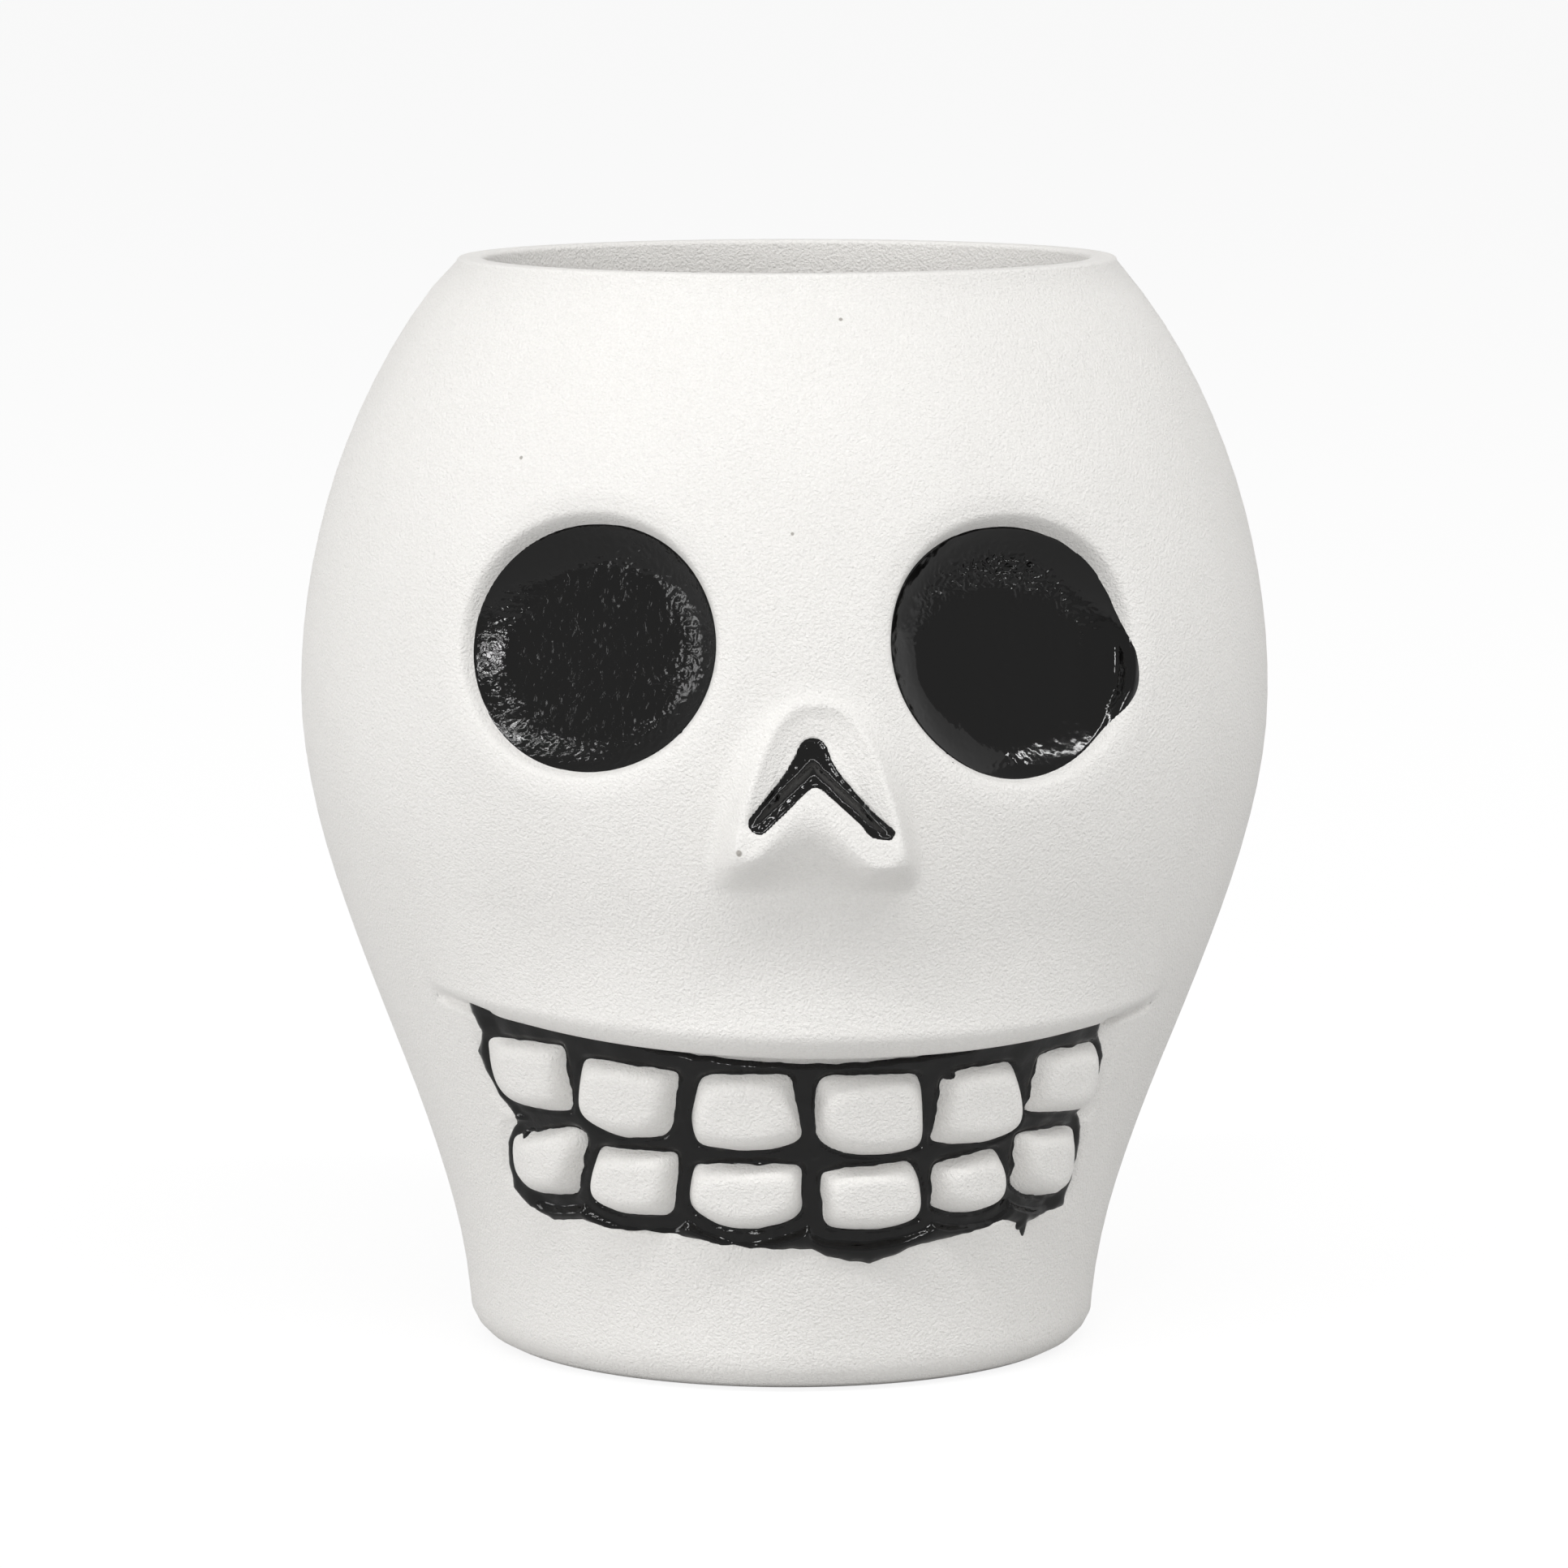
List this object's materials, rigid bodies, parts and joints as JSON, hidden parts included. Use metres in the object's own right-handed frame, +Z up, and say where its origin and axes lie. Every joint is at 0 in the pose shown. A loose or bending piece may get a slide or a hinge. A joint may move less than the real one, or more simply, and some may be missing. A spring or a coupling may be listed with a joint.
{
  "type": "skull tea light holder",
  "caption": "Hollow round-headed skull in cast matt white ceramic, open at the flat crown, with black enamel eyes, nose and tooth grooves; holds a tea light on its floor.",
  "frame": {"origin": "middle of the flat base, on the surface that the holder stands on", "axes": "+Z up through the open crown, -Y the way the face looks, +X to the right of a viewer who faces it"},
  "size_m": [0.08, 0.085, 0.09],
  "materials": {
    "cast_body": "matt, fine sandy grain",
    "black_enamel": "thick gloss black enamel, uneven by hand"
  },
  "bodies": {
    "root": {"skull_body": "cast_body", "eye_enamel_left": "black_enamel", "eye_enamel_right": "black_enamel", "nose_enamel": "black_enamel", "mouth_enamel": "black_enamel"}
  },
  "joints": []
}
